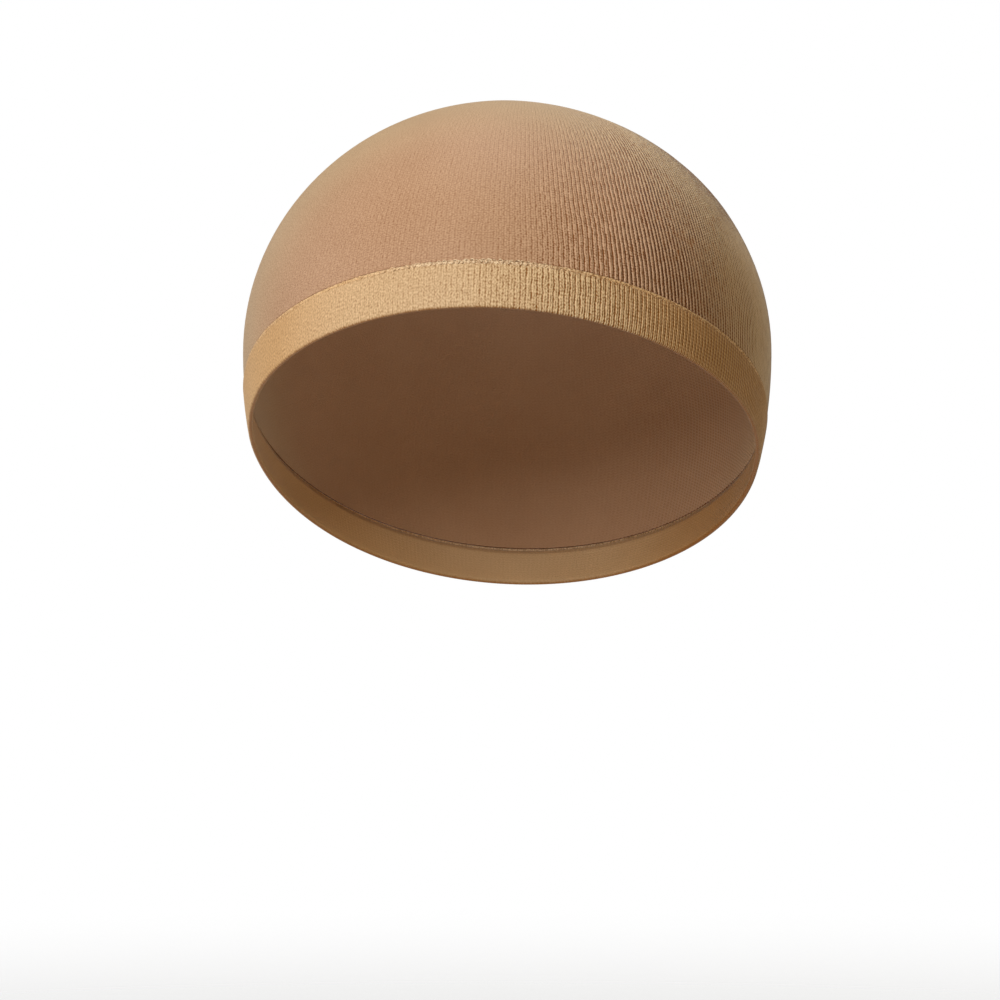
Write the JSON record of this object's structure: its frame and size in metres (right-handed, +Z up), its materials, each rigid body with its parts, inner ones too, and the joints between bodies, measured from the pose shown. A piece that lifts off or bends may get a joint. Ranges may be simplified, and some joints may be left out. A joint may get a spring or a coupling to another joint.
{
  "type": "stocking wig cap",
  "caption": "Stretch knit cap worn under a wig: a seamless ribbed dome drawn in at the crown, with a turned double band at the hem.",
  "frame": {"origin": "highest point inside the crown, where the head that wears the cap touches it", "axes": "+Z up, the front of the cap faces -Y, +Y towards the back of the head, +X towards the wearer's left"},
  "size_m": [0.1526, 0.1917, 0.1436],
  "materials": {
    "sheer_knit": "matte sheer nylon knit with fine upright ribs and a soft sheen",
    "welt_knit": "matte double nylon knit, denser and more golden, with beaded upright ribs",
    "seam_yarn": "fine linked stretch yarn, slightly raised and paler"
  },
  "bodies": {
    "root": {"crown_dome": "sheer_knit", "crown_gather": "sheer_knit", "welt_band": "welt_knit", "welt_seam": "seam_yarn"}
  },
  "joints": []
}
